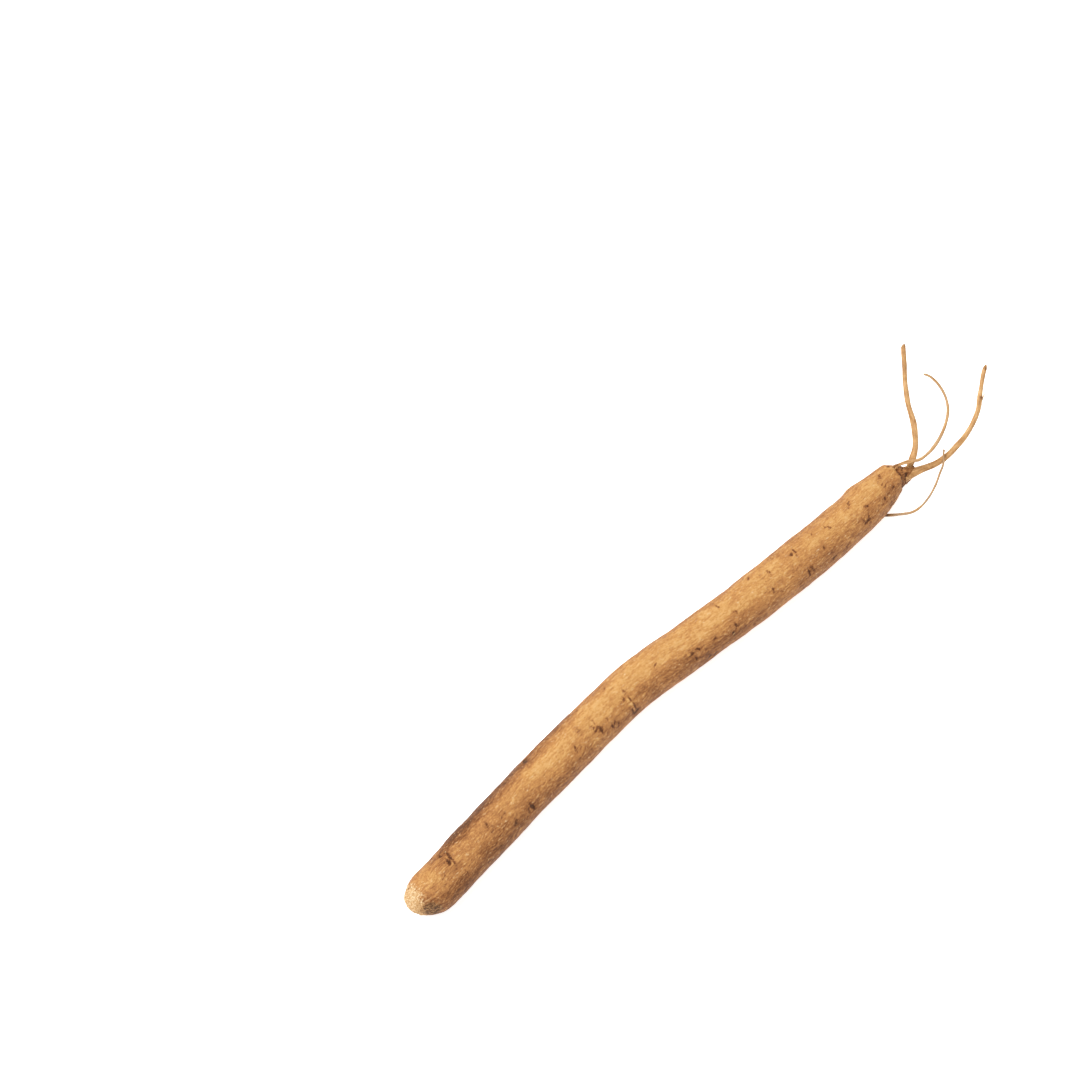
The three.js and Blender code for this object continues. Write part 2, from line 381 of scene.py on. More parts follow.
# %% Patches and seams of this root
PATCHES = [  # place mm, degrees, length mm, width mm, strength
    (4.2, -15, 1.4, 2.6, 0.5), (5.6, -41, 1.6, 1.0, 0.5), (6.8, -73, 2.6, 1.6, 0.9),
    (10.5, -40, 3.4, 2.6, 0.6), (11.8, -45, 2.6, 1.8, 0.45), (17.1, 7, 2.8, 5.4, 1.1),
    (14.6, -61, 2.0, 1.2, 0.6), (15.9, -66, 2.4, 1.4, 0.7), (18.6, -52, 2.4, 1.2, 0.7),
    (25.6, -52, 2.6, 1.2, 0.4), (29.2, 26, 1.6, 2.0, 0.4), (29.4, -63, 2.6, 1.2, 0.6),
    (32.2, -66, 3.2, 1.6, 0.7), (33.2, -74, 2.6, 1.2, 0.8), (33.2, -8, 2.4, 3.2, 0.35),
    (37.2, -58, 2.2, 1.0, 0.5), (37.0, -68, 2.2, 1.0, 0.5), (40.8, -48, 2.2, 1.2, 0.6),
    (53.8, -50, 2.2, 1.4, 0.5), (56.3, 40, 2.8, 2.6, 0.5), (57.8, -36, 2.0, 1.6, 0.4),
    (59.5, -53, 2.4, 1.0, 0.5), (68.2, -56, 2.4, 1.0, 0.5), (69.6, 45, 1.8, 1.0, 0.6),
    (70.4, -31, 2.0, 1.8, 0.5), (73.2, 11, 1.0, 0.9, 0.35), (77.0, -57, 2.4, 1.0, 0.45),
    (79.6, -34, 2.6, 2.8, 0.8), (85.2, -58, 3.4, 2.8, 0.6), (89.2, 43, 1.3, 0.8, 0.6),
    (90.0, 18, 0.8, 0.8, 0.4), (91.4, -26, 1.6, 1.2, 0.45), (98.6, -74, 2.6, 1.4, 0.6),
    (101.5, -71, 2.2, 1.0, 0.5), (99.8, -33, 1.8, 1.6, 0.4), (106.7, -13, 1.8, 1.6, 0.5),
    (107.0, -42, 2.4, 1.0, 0.45), (109.6, -70, 2.6, 1.0, 0.55), (112.5, -58, 2.6, 0.9, 0.45),
    (112.3, 9, 1.2, 0.9, 0.3), (114.4, 6, 1.2, 1.0, 0.35), (111.5, -19, 1.0, 0.9, 0.4),
    (117.8, -35, 4.2, 2.2, 0.7), (117.5, -76, 3.2, 1.2, 0.5), (121.3, -36, 2.6, 1.4, 0.6),
    (121.5, -70, 2.8, 1.0, 0.6), (121.6, -4, 1.6, 1.2, 0.4), (124.2, -78, 4.0, 1.8, 0.7),
    (135.5, 27, 1.4, 1.8, 0.4), (135.8, -48, 2.8, 3.0, 0.7), (140.0, -76, 2.8, 1.0, 0.7),
    (143.4, -69, 2.8, 1.0, 0.65), (146.5, -75, 2.4, 1.0, 0.6), (149.5, -48, 2.0, 1.0, 0.4),
    (160.2, -50, 2.2, 1.0, 0.4), (163.5, -78, 2.0, 1.2, 0.6), (166.0, -29, 1.5, 0.7, 0.45),
    (167.2, -55, 3.2, 3.2, 0.35), (167.0, -70, 1.4, 1.8, 0.55), (169.0, -79, 2.0, 1.2, 0.55),
    (177.0, -52, 2.0, 1.0, 0.45), (180.5, 9, 2.2, 2.0, 0.35), (182.3, -51, 2.2, 1.0, 0.4),
    (193.6, -55, 3.0, 2.4, 1.5), (208.2, -40, 1.6, 1.4, 0.5), (206.2, -6, 4.0, 3.2, 0.6),
]
SEAMS = [  # raised pale skin: place mm, degrees, length mm, width mm, strength
    (17.2, 8, 0.45, 4.2, 0.8), (47.2, -50, 0.6, 1.5, 0.6), (92.9, -32, 0.9, 1.6, 0.8),
    (93.2, -46, 0.9, 1.6, 0.8), (93.4, -61, 1.0, 1.8, 1.0), (117.4, -36, 1.8, 0.7, 0.8),
    (165.9, 9, 0.7, 0.8, 0.5), (192.9, -42, 1.0, 1.6, 0.6), (5.4, -54, 0.6, 2.8, 0.9),
]
for each in PATCHES:
    patch(*each)
for place, degrees, length, width, strength in SEAMS:
    seam = strength * oval(place, degrees, length, width, 3)
    height += 0.12 * seam
    dark *= 1 - 0.8 * np.clip(seam, 0, 1)
    stain(pale, seam)
print(f"{len(PATCHES)} patches and {len(SEAMS)} seams")

# %% [markdown]
# The random marks come from a seeded generator, so they are the same on every run. Small specks
# and dashes go all round the root. The larger marks go only where the list above places none.

# %% Random marks
LARGE_MARKS = 46
SMALL_MARKS = 170

chance = np.random.default_rng(11)
for _ in range(LARGE_MARKS):
    place = chance.uniform(14, 204)
    degrees = chance.uniform(70, 360 - 114)
    strength = chance.uniform(0.5, 1.0)
    kind = chance.integers(4)
    if kind == 0:
        crease(place, degrees, chance.uniform(1.6, 5.0), strength)
    elif kind == 1:
        ring(place, degrees, chance.uniform(1.6, 2.6), strength)
    elif kind == 2:
        pit(place, degrees, chance.uniform(0.8, 1.8), strength)
    else:
        patch(place, degrees, chance.uniform(2, 6), chance.uniform(1, 2.6), strength)
for _ in range(SMALL_MARKS):
    place = chance.uniform(8, 212)
    degrees = chance.uniform(0, 360)
    if chance.random() < 0.6:
        patch(place, degrees, *chance.uniform(0.6, 1.3, 2), chance.uniform(0.35, 0.75))
    else:
        patch(place, degrees, 0.7, chance.uniform(1.0, 2.4), chance.uniform(0.35, 0.6))
print(f"{(dark > 0.3).mean():.1%} of the bark is darkened by marks")

# %% [markdown]
# ## The corky tail
#
# The tail is where the root was broken off and healed: the brown bark ends in an uneven edge,
# and pale crumbly cork shows inside it, with dark pores and one greyish worn patch. The cork's
# relief is a solid noise with no direction, and it fades out where the bark begins.

# %% Tail relief and masks
TAIL_REACH = 16         # mm from the tip, beyond which nothing of the cork shows

near_tail = along < TAIL_REACH
tail_points = smooth_skin[near_tail]
rough = np.zeros((RINGS, SIDES))
rough[near_tail] = crumbs(tail_points, 0.8)
uneven = np.zeros((RINGS, SIDES))
uneven[near_tail] = crumbs(tail_points + 50, 3.5)

cork_edge = 3.6 + 0.5 * np.cos(turn + math.radians(60)) + 0.9 * np.cos(turn - math.radians(80))
cork_edge = cork_edge + 1.3 * uneven
cork = 1 - ramp(along[:, None], cork_edge - 2.1, cork_edge + 2.1)
cork[~near_tail] = 0
worn = np.clip(1.1 * oval(3.8, -68, 5.4, 7.4, 3), 0, 1)
worn *= near_tail[:, None]
height += np.maximum(cork, worn) * (0.22 * rough - 0.06)
cork = np.maximum(cork, 0.75 * worn)
stain(dark, worn * np.clip(0.85 + 0.6 * rough, 0, 1))
edge_stain = np.exp(-(((along[:, None] - cork_edge - 1.6) / 1.3) ** 2)) * near_tail[:, None]
stain(dark, (0.35 - 0.2 * np.sin(turn)) * edge_stain * np.clip(0.4 + 0.9 * uneven + 0.5 * breaks, 0, 1))
print(f"cork covers {cork.sum() * cell_along * cell_around:.0f} square mm of the grid")

# %% [markdown]
# ## The shoulder and the collar
#
# At the top end the bark tightens into coarse folds and stops at a groove, darkened with painted
# shade that is deepest on the side away from the key light. Out of that groove comes the collar,
# the stump of the plant's stem, which is brown and fibrous. The gaps between the bases of the
# rootlets are shallow grooves darkened with painted shade.

# %% Collar relief and masks
SHOULDER = 203          # mm from the tail, where the shaft starts to narrow

to_collar = ramp(along, SHOULDER, 212)[:, None]
folds = bark_lumps(7, 2.2, 7)
height += to_collar * 0.1 * folds
near_collar = along > SHOULDER
fibres = np.zeros((RINGS, SIDES))
fibres[near_collar] = crumbs(smooth_skin[near_collar] + 90, 1.0)
step_place = 213.9 + 1.4 * np.sin(turn)
behind = along[:, None] - step_place
woody = ramp(behind, -0.2, 0.7)
height += woody * 0.3 * fibres
step_groove = np.exp(-((behind / 0.55) ** 2)) * (0.7 + 0.25 * breaks)
height -= 0.45 * step_groove
# Painted shade in the groove, deepest on the side away from the key light.
stain(dark, step_groove * (0.75 - 0.45 * np.sin(turn)))
stain(dark, woody * (0.1 + 0.6 * np.clip(-fibres, 0, 1)))
# Painted shade in the gaps and creases between the bases of the rootlets, on shallow grooves.
for gap in ([(215.7, -30), (215.2, -38), (214.7, -47)], [(215.8, 75), (216.2, 105), (215.4, 140)]):
    stroke(gap, 0.5, 1.3)
stroke([(214.5, -56), (214.6, -64)], 0.5, 0.9)
stroke([(213.6, -12), (213.4, -26), (212.8, -44), (212.4, -58)], 0.9, 1.3)
stroke([(215.2, -10), (214.8, -25), (214.2, -40)], 0.5, 0.5)
print(f"collar relief spans {np.ptp(height[near_collar]):.2f} mm")

# %% [markdown]
# ## Swellings and hollows
#
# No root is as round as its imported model. These broad swellings, a few tenths of a millimetre
# high, give the outline its slight bumps. The first is the small corner at the tip of the tail.

# %% Swellings
SWELLINGS = [  # place mm, degrees, length mm, width mm, height mm
    (0.9, 66, 2.6, 3.0, 0.35), (2.5, -70, 6, 8, -0.35), (8.0, 67, 12, 12, 0.4),
    (25.0, 67, 12, 12, 0.5), (85.0, 67, 170, 16, 0.4), (56.0, -110, 26, 14, -0.3),
    (78.0, -110, 24, 16, -0.35), (140.0, -110, 50, 16, -0.35), (180.0, -110, 34, 16, -0.35),
    (134.0, 67, 26, 12, 0.2), (75.0, 67, 22, 12, 0.15), (198.5, 67, 5, 7, 0.6),
    (207.5, 67, 6, 9, -0.1), (212.6, -104, 5, 7, -0.6), (219.0, 66, 6, 5, -0.6),
    (4.5, -112, 8, 10, -0.25), (16.0, -115, 24, 14, -0.22), (42.0, -115, 40, 14, -0.35),
    (94.0, -115, 16, 12, -0.3), (131.0, -115, 10, 12, -0.25), (54.0, 67, 18, 10, 0.15),
    (188.0, 67, 14, 10, 0.15), (169.0, 67, 6, 8, 0.15), (211.0, 67, 4, 7, -0.2),
]
for place, degrees, length, width, amount in SWELLINGS:
    height += amount * oval(place, degrees, length, width)

# The rings meet at the tip of the tail, so the relief is evened out there, or it would pinch.
tip = 1 - ramp(radius, 0.3, 2.6)[:, None]
height += tip * (height.mean(1, keepdims=True) - height)
print(f"whole relief spans {np.ptp(height):.2f} mm")

# %% [markdown]
# ## Umber bark and painted shade
#
# The top of the root is golden. The flanks and the underside are browner, with an uneven edge
# between them: partly the bark's own browner tone, partly painted shade on the sides turned away
# from the key light. Towards the tail the bark is browner all round. A dark band on the left
# flank, from about 13 mm to 145 mm along and strongest near 25 mm, is a painted shadow of a
# neighbouring root. In the last centimetre the top and the left are paler again. A faint grey low
# on the right side is partly dust, partly a painted sheen of light bounced up from the floor.

# %% Umber, painted shade and dust-and-sheen masks
side_angle = (np.degrees(turn) + 180) % 360 - 180
# A painted shadow of a neighbouring root on the left flank, from about 13 to 145 mm along.
painted_flank_shadow = 1.75 * ramp(side_angle, 8, 56) * (ramp(along, 13, 25) - ramp(along, 25, 145))[:, None]
# The flanks and the underside: partly the bark's browner tone, partly painted shade away from the key
# light.
brown_and_shaded_sides = np.maximum(
    ramp(-side_angle, -4, 66) + 0.3 * ramp(-side_angle, 50, 95), ramp(side_angle, 16, 74)
)
tailward = (0.8 - 0.3 * ramp(along, 8, 26) - 0.5 * ramp(along, 18, 80))[:, None]
umber_and_painted_shade = np.maximum(brown_and_shaded_sides[None, :], painted_flank_shadow) + tailward
umber_and_painted_shade = umber_and_painted_shade - 0.6 * (1 - ramp(along, 8, 15))[:, None] * ramp(side_angle, -40, 15)
umber_and_painted_shade = np.clip(umber_and_painted_shade + 0.12 * bark_lumps(20, 4, 8), 0, 2.3)
# A faint grey low on the right side: partly dust, partly a painted sheen of light from the floor.
dust_and_rim_sheen = 0.03 * ramp(-side_angle, 25, 80)
dust_and_rim_sheen = np.broadcast_to(dust_and_rim_sheen, (RINGS, SIDES))
print(f"umber covers {np.clip(umber_and_painted_shade, 0, 1).mean():.0%} of the bark")

# %% [markdown]
# ## Making the mesh
#
# The grid is moved out along its normals by the collected height, kept above the surface that
# the root lies on, and closed with a fan at each end. The masks travel with the mesh as point
# attributes. So does `grain`, the point's place on an imaginary straight root, in millimetres:
# patterns that read it follow every bend of the real one.

# %% Build a skin from rings
def add_skin(name, rings, masks, grain, material):
    """Closes rings x sides points, in mm, into one smooth skin that carries its masks."""
    count, sides = rings.shape[:2]
    spots = np.vstack([rings.reshape(-1, 3), rings[0].mean(0), rings[-1].mean(0)]) * MM
    here = np.arange((count - 1) * sides).reshape(-1, sides)
    beside = np.roll(here, -1, axis=1)
    walls = np.stack([here, here + sides, beside + sides, beside], -1).reshape(-1, 4)
    tip, end = count * sides, count * sides + 1
    first = [(tip, a, b) for a, b in zip(here[0], beside[0])]
    last = [(end, b + sides, a + sides) for a, b in zip(here[-1], beside[-1])]
    mesh = bpy.data.meshes.new(name)
    mesh.from_pydata(spots.tolist(), [], walls.tolist() + first + last)
    for mask, values in masks.items():
        flat = np.append(values.ravel(), [values[0].mean(), values[-1].mean()])
        mesh.attributes.new(mask, "FLOAT", "POINT").data.foreach_set("value", flat)
    ends = np.vstack([grain.reshape(-1, 3), grain[0].mean(0), grain[-1].mean(0)])
    mesh.attributes.new("grain", "FLOAT_VECTOR", "POINT").data.foreach_set("vector", ends.ravel())
    mesh.shade_smooth()
    mesh.materials.append(material)
    piece = bpy.data.objects.new(name, mesh)
    bpy.context.scene.collection.objects.link(piece)
    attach(piece, "root")
    return piece


# %% [markdown]
# ## Materials
#
# Two finishes are enough. The root's bark is dry cork: rough, so its highlight is only a broad
# soft sheen, and coloured between ochre and brown in streaks that follow the grain. The rootlets
# have young bark, which is smoother and more golden.
#
# Colours are given as sRGB hex values and turned to linear light by one function. Each pattern
# is scaled by the real length and width of what it draws, in millimetres.

# %% Tools for materials
MIX_A, MIX_B, MIX_RESULT = 6, 7, 2  # a Mix node's colour sockets


def colour(code):
    """An sRGB hex value as linear red, green, blue and alpha."""
    shares = [int(code[i:i + 2], 16) / 255 for i in (1, 3, 5)]
    linear = [s / 12.92 if s <= 0.04045 else ((s + 0.055) / 1.055) ** 2.4 for s in shares]
    return (*linear, 1.0)


def add(tree, kind, settings=None, links=None):
    """Adds a node, sets its properties or sockets, and links other nodes to its inputs."""
    node = tree.nodes.new(kind)
    for name, value in (settings or {}).items():
        if isinstance(name, str) and hasattr(node, name):
            setattr(node, name, value)
        else:
            node.inputs[name].default_value = value
    for name, output in (links or {}).items():
        tree.links.new(output, node.inputs[name])
    return node


def new_material(name):
    material = bpy.data.materials.new(name)
    material.use_nodes = True
    material.node_tree.nodes.clear()
    return material, material.node_tree


def fleck_pattern(tree, place, length, width, detail=2.0):
    """Noise from 0 to 1 whose flecks are length mm along the grain and width mm across it."""
    scaled = add(tree, "ShaderNodeMapping", {"Scale": (1 / length, 1 / width, 1 / width)},
                 {"Vector": place})
    return add(tree, "ShaderNodeTexNoise", {"Scale": 1.0, "Detail": detail, "Roughness": 0.55},
               {"Vector": scaled.outputs[0]}).outputs[0]


# %% [markdown]
# ### Root bark
#
# Dried cork bark gets its look from layers of tone on one ramp, from dark brown to pale ochre:
# broad clouds, lengthwise streaks, fine fibres and a gritty speckle. Adding the layers up first
# and reading the ramp once keeps every mixture a colour that bark can have. The golden side is
# calmer than the umber one. The masks darken the tone in scars and on the collar, whose groove and
# gaps carry painted shade. The umber mask adds the bark's browner tone and painted shade, the
# relief mask adds painted light on crests and painted shade in hollows, and the grey of dust and
# painted floor sheen and the healed cork's cream are laid over the result.

# %% Root bark material
BARK_TONES = (  # from the bottom of a pit to the palest crest
    (0.0, "#472a17"), (0.28, "#694024"), (0.43, "#82532f"), (0.62, "#a77243"),
    (0.73, "#b9834c"), (0.80, "#c69457"), (0.87, "#cfa064"), (1.0, "#d3a66c"),
)
CORK_TONES = (
    (0.0, "#4c321e"), (0.3, "#886340"), (0.6, "#bc905e"), (0.8, "#cfaa7a"), (1.0, "#e0c8a0"),
)
# Grey of dust and of a painted sheen of floor light.
DUST_AND_RIM_SHEEN = "#8d765a"


def shift_tone(tree, tone, amount, weight, rest=0.0):
    """Adds weight x (amount - rest) to a tone."""
    moved = add(tree, "ShaderNodeMath", {"operation": "MULTIPLY_ADD", 1: weight, 2: -weight * rest},
                {0: amount})
    return add(tree, "ShaderNodeMath", {"operation": "ADD"}, {0: tone, 1: moved.outputs[0]}).outputs[0]


def read_tones(tree, tone, tones):
    """A colour ramp through the given tones."""
    ramp_node = add(tree, "ShaderNodeValToRGB", links={"Fac": tone})
    stops = ramp_node.color_ramp.elements
    for stop, (position, code) in zip(stops, (tones[0], tones[-1])):
        stop.position, stop.color = position, colour(code)
    for position, code in tones[1:-1]:
        stops.new(position).color = colour(code)
    return ramp_node.outputs["Color"]


def crisp(tree, mask, fine, low, high):
    """Cuts a soft mask to a sharp one whose edge follows a fine pattern."""
    frayed = shift_tone(tree, mask, fine, 2.6, 0.5)
    return add(tree, "ShaderNodeMapRange",
               {"interpolation_type": "SMOOTHSTEP", "From Min": low, "From Max": high},
               {"Value": frayed}).outputs["Result"]


def flake_lines(tree, place, length, width):
    """Thin broken lines: the places where a noise passes through its middle value."""
    wander = fleck_pattern(tree, place, length, width, 2)
    distance = add(tree, "ShaderNodeMath", {"operation": "SUBTRACT", 1: 0.5}, {0: wander})
    distance = add(tree, "ShaderNodeMath", {"operation": "ABSOLUTE"}, {0: distance.outputs[0]})
    return add(tree, "ShaderNodeMapRange", {"From Max": 0.045, "To Min": 1.0, "To Max": 0.0},
               {"Value": distance.outputs[0]}).outputs["Result"]


BARK_BASE = 0.785


def make_root_bark():
    material, tree = new_material("dried_cork_bark")
    straight = add(tree, "ShaderNodeAttribute", {"attribute_name": "grain"}).outputs["Vector"]
    sway = add(tree, "ShaderNodeTexNoise", {"Scale": 0.17, "Detail": 1.0}, {"Vector": straight})
    place = add(tree, "ShaderNodeVectorMath",
                {"operation": "MULTIPLY_ADD", 1: (0.0, 1.6, 1.6), 2: (0.0, -0.8, -0.8)},
                {0: sway.outputs["Color"]})
    place = add(tree, "ShaderNodeVectorMath", {"operation": "ADD"},
                {0: place.outputs[0], 1: straight}).outputs[0]
    masks = {
        name: add(tree, "ShaderNodeAttribute", {"attribute_name": name}).outputs["Fac"]
        for name in ("cork", "pale", "woody", "dark", "painted_relief_shade", "umber_and_painted_shade", "dust_and_rim_sheen")
    }
    clouds = fleck_pattern(tree, place, 30, 9, 2)
    girdle_bands = fleck_pattern(tree, place, 7, 30, 1)
    bands = fleck_pattern(tree, place, 12, 2.8, 3)
    flecks = fleck_pattern(tree, place, 3.4, 1.3, 3)
    blotches = fleck_pattern(tree, place, 5.0, 3.2, 2)
    fibres = fleck_pattern(tree, place, 4.6, 0.55, 3)
    grit = fleck_pattern(tree, place, 1.15, 0.55, 3)
    fine = fleck_pattern(tree, place, 0.6, 0.33, 2)
    flakes = flake_lines(tree, place, 4.0, 0.9)
    cracks = flake_lines(tree, place, 9.0, 0.9)
    veins = flake_lines(tree, place, 4.5, 0.6)
    tone = add(tree, "ShaderNodeMath", {"operation": "MULTIPLY_ADD", 1: 0.24, 2: -0.12},
               {0: clouds}).outputs[0]
    for pattern, weight in (
        (girdle_bands, 0.2), (bands, 0.24), (blotches, 0.2), (flecks, 0.37), (fibres, 0.37),
        (grit, 0.53), (fine, 0.43),
    ):
        tone = shift_tone(tree, tone, pattern, weight, 0.5)
    tone = shift_tone(tree, tone, flakes, 0.03, 0.3)
    tone = shift_tone(tree, tone, cracks, -0.12, 0.3)
    tone = shift_tone(tree, tone, veins, -0.07, 0.3)
    liveliness = add(tree, "ShaderNodeMapRange", {"To Min": 0.6, "To Max": 1.05},
                     {"Value": masks["umber_and_painted_shade"]}).outputs["Result"]
    tone = add(tree, "ShaderNodeMath", {"operation": "MULTIPLY_ADD", 2: BARK_BASE},
               {0: tone, 1: liveliness}).outputs[0]
    # Raised bark a little paler and hollows a little darker: painted light and painted shade.
    tone = shift_tone(tree, tone, masks["painted_relief_shade"], 0.02)
    # Browner bark, painted shade on the sides and a painted shadow on the left flank.
    tone = shift_tone(tree, tone, masks["umber_and_painted_shade"], -0.23)
    tone = shift_tone(tree, tone, crisp(tree, masks["pale"], grit, 0.25, 0.7), 0.13)
    soiled = crisp(tree, masks["dark"], grit, 0.25, 0.65)
    depth = add(tree, "ShaderNodeMath", {"operation": "MULTIPLY_ADD", 1: 0.65, 2: 0.35},
                {0: masks["dark"]}).outputs[0]
    soiled = add(tree, "ShaderNodeMath", {"operation": "MULTIPLY"}, {0: soiled, 1: depth}).outputs[0]
    tone = shift_tone(tree, tone, soiled, -0.5)
    tone = shift_tone(tree, tone, masks["woody"], -0.14)
    # Dust and a painted sheen of floor light, laid as grey over the bark.
    dusty_sheen = shift_tone(tree, masks["dust_and_rim_sheen"], flecks, 0.3, 0.5)
    dusty_sheen = shift_tone(tree, dusty_sheen, soiled, -0.2)
    bark = add(tree, "ShaderNodeMix",
               {"data_type": "RGBA", "clamp_factor": True, MIX_B: colour(DUST_AND_RIM_SHEEN)},
               {0: dusty_sheen, MIX_A: read_tones(tree, tone, BARK_TONES)}).outputs[MIX_RESULT]

    grains = add(tree, "ShaderNodeTexVoronoi", {"Scale": 1.6}, {"Vector": place})
    crumb_tone = add(tree, "ShaderNodeMapRange",
                     {"From Min": 0.25, "From Max": 0.8, "To Min": 0.86, "To Max": 0.7},
                     {"Value": grains.outputs["Distance"]}).outputs["Result"]
    crumb_tone = shift_tone(tree, crumb_tone, fine, 1.3, 0.5)
    crumb_tone = shift_tone(tree, crumb_tone, grit, 1.4, 0.5)
    crumb_tone = shift_tone(tree, crumb_tone, soiled, -0.62)
    # The same browner tone and painted shade darken the cork a little.
    crumb_tone = shift_tone(tree, crumb_tone, masks["umber_and_painted_shade"], -0.06)
    corky = crisp(tree, masks["cork"], grit, 0.2, 0.8)
    shade = add(tree, "ShaderNodeMix", {"data_type": "RGBA"},
                {0: corky, MIX_A: bark, MIX_B: read_tones(tree, crumb_tone, CORK_TONES)})

    relief = shift_tone(tree, grit, fine, 0.6)
    relief = shift_tone(tree, relief, fibres, 0.5)
    relief = shift_tone(tree, relief, flakes, 0.15)
    relief = shift_tone(tree, relief, cracks, -0.2)
    relief = shift_tone(tree, relief, soiled, -0.5)
    bump = add(tree, "ShaderNodeBump", {"Strength": 0.4, "Distance": 0.0003},
               {"Height": relief})
    rough = add(tree, "ShaderNodeMapRange", {"To Min": 0.55, "To Max": 0.75}, {"Value": grit})
    bsdf = add(tree, "ShaderNodeBsdfPrincipled", {"IOR": 1.45, "Specular IOR Level": 0.16},
               {"Base Color": shade.outputs[MIX_RESULT], "Roughness": rough.outputs[0],
                "Normal": bump.outputs["Normal"]})
    add(tree, "ShaderNodeOutputMaterial", links={"Surface": bsdf.outputs[0]})
    return material


root_bark = make_root_bark()
print("material:", root_bark.name)

# %% Build the root
LOWEST = 0.02           # mm above the floor

displaced = smooth_skin + height[..., None] * outward
displaced[..., 2] = np.maximum(displaced[..., 2], LOWEST)
straight = np.stack(
    np.broadcast_arrays(
        along[:, None], radius[:, None] * np.sin(turn), radius[:, None] * np.cos(turn)
    ),
    -1,
)
# Painted light on the crests of the relief and painted shade in its hollows.
painted_relief_shade = np.clip((height - blurred(height, 5, 3)) / 0.12, -1, 1)
masks = {"dark": dark, "pale": pale, "cork": cork, "woody": woody, "painted_relief_shade": painted_relief_shade,
         "umber_and_painted_shade": umber_and_painted_shade, "dust_and_rim_sheen": dust_and_rim_sheen}
root_piece = add_skin("root_bark_skin", displaced, masks, straight, root_bark)
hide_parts("main_root")
print(f"{root_piece.name}: {len(root_piece.data.polygons)} faces")

# %% [markdown]
# ### Rootlet bark
#
# A rootlet is only a year or two old. Its bark is thin and smooth, more golden than the root's,
# with faint lengthwise lines and darker nodes where hairs broke off. The finest strands are
# greyer, the more so away from their base.

# %% Rootlet bark material
ROOTLET_TONES = (
    (0.0, "#4a2d1b"), (0.3, "#7a5030"), (0.5, "#9f7245"), (0.7, "#bb8e5b"), (0.85, "#ca9f6b"),
    (1.0, "#dab889"),
)
FINE_STRAND = "#a98a68"


def make_rootlet_bark():
    material, tree = new_material("young_rootlet_bark")
    place = add(tree, "ShaderNodeAttribute", {"attribute_name": "grain"}).outputs["Vector"]
    dark_parts = add(tree, "ShaderNodeAttribute", {"attribute_name": "dark"}).outputs["Fac"]
    pale_parts = add(tree, "ShaderNodeAttribute", {"attribute_name": "pale"}).outputs["Fac"]
    blotches = fleck_pattern(tree, place, 2.6, 1.2, 2)
    lines = fleck_pattern(tree, place, 5, 0.45, 3)
    grit = fleck_pattern(tree, place, 0.7, 0.4, 2)
    tone = add(tree, "ShaderNodeMath", {"operation": "MULTIPLY_ADD", 1: 0.5, 2: 0.49},
               {0: lines}).outputs[0]
    tone = shift_tone(tree, tone, blotches, 0.75, 0.5)
    tone = shift_tone(tree, tone, grit, 0.35, 0.5)
    relief = tone
    # The dark mask holds the darker nodes and spots, and painted shade at the base of each rootlet.
    tone = shift_tone(tree, tone, dark_parts, -0.6)
    shade = add(tree, "ShaderNodeMix",
                {"data_type": "RGBA", "clamp_factor": True, MIX_B: colour(FINE_STRAND)},
                {0: pale_parts, MIX_A: read_tones(tree, tone, ROOTLET_TONES)})
    bump = add(tree, "ShaderNodeBump", {"Strength": 0.6, "Distance": 0.00015},
               {"Height": relief})
    bsdf = add(tree, "ShaderNodeBsdfPrincipled",
               {"IOR": 1.45, "Roughness": 0.55, "Specular IOR Level": 0.3},
               {"Base Color": shade.outputs[MIX_RESULT], "Normal": bump.outputs["Normal"]})
    add(tree, "ShaderNodeOutputMaterial", links={"Surface": bsdf.outputs[0]})
    return material


rootlet_bark = make_rootlet_bark()
print("material:", rootlet_bark.name)

# %% [markdown]
# ## The rootlets
#
# Each rootlet follows a smooth curve through a few points: along the root from its tail, to the
# side, height, and radius, in millimetres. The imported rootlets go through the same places, with
# radii that differ by 0.15 mm at most. Here each gets two more points at its base, the first of
# them inside the root, so that it grows out of it.
#
# A tube with an even taper looks like wire. Real rootlets swell at nodes, have fine lengthwise
# ribs and end torn or broken off, so the radius is worked over with those.

